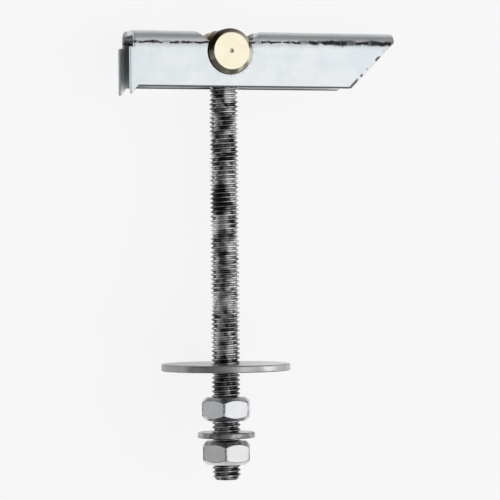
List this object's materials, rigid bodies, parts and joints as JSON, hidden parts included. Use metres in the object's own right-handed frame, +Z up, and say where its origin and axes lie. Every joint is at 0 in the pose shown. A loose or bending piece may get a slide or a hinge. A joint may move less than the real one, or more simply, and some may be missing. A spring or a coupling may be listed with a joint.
{
  "type": "toggle anchor",
  "caption": "Toggle anchor for hollow ceilings: a folded channel bar swings on a brass barrel at the head of a threaded stud that carries a cover washer, nuts and a flat washer.",
  "frame": {"origin": "centre of the anchor's outline on the table that it lies on", "axes": "+Z up from the table, +Y along the stud towards the bar, +X along the bar towards its long end; the stud leans 6 degrees out of the table because it lies on the cover washer's rim"},
  "size_m": [0.0778, 0.1256, 0.0359],
  "materials": {
    "bar_zinc": "bright zinc plate",
    "barrel_brass": "turned",
    "stud_zinc": "zinc plate on rolled thread",
    "washer_zinc": "bright zinc plate",
    "nut_zinc": "bright zinc plate"
  },
  "bodies": {
    "stud": {"stud": "stud_zinc", "pivot_barrel": "barrel_brass"},
    "bar": {"toggle_bar": "bar_zinc"},
    "upper_nut": {"upper_nut": "nut_zinc"},
    "cover_washer": {"cover_washer": "washer_zinc"},
    "lower_nut": {"lower_nut": "nut_zinc"},
    "flat_washer": {"flat_washer": "washer_zinc"}
  },
  "joints": [
    {"name": "bar_swing", "type": "hinge", "parent": "stud", "child": "bar", "pos_m": [-0.00999, 0.05586, 0.00834], "axis": [0.0379, 0.1098, 0.9932], "range_deg": [-90, 90]},
    {"name": "upper_nut_run", "type": "slide", "parent": "stud", "child": "upper_nut", "axis": [0, 0.9939, -0.1099], "range_m": [-0.0031, 0.064]},
    {"name": "cover_slide", "type": "slide", "parent": "upper_nut", "child": "cover_washer", "axis": [0, -0.9939, 0.1099], "range_m": [-0.04, 0.0073]},
    {"name": "lower_nut_run", "type": "slide", "parent": "stud", "child": "lower_nut", "axis": [0, 0.9939, -0.1099], "range_m": [-0.0043, 0.0031]},
    {"name": "flat_washer_slide", "type": "slide", "parent": "lower_nut", "child": "flat_washer", "axis": [0, 0.9939, -0.1099], "range_m": [-0.0008, 0.0031]}
  ]
}
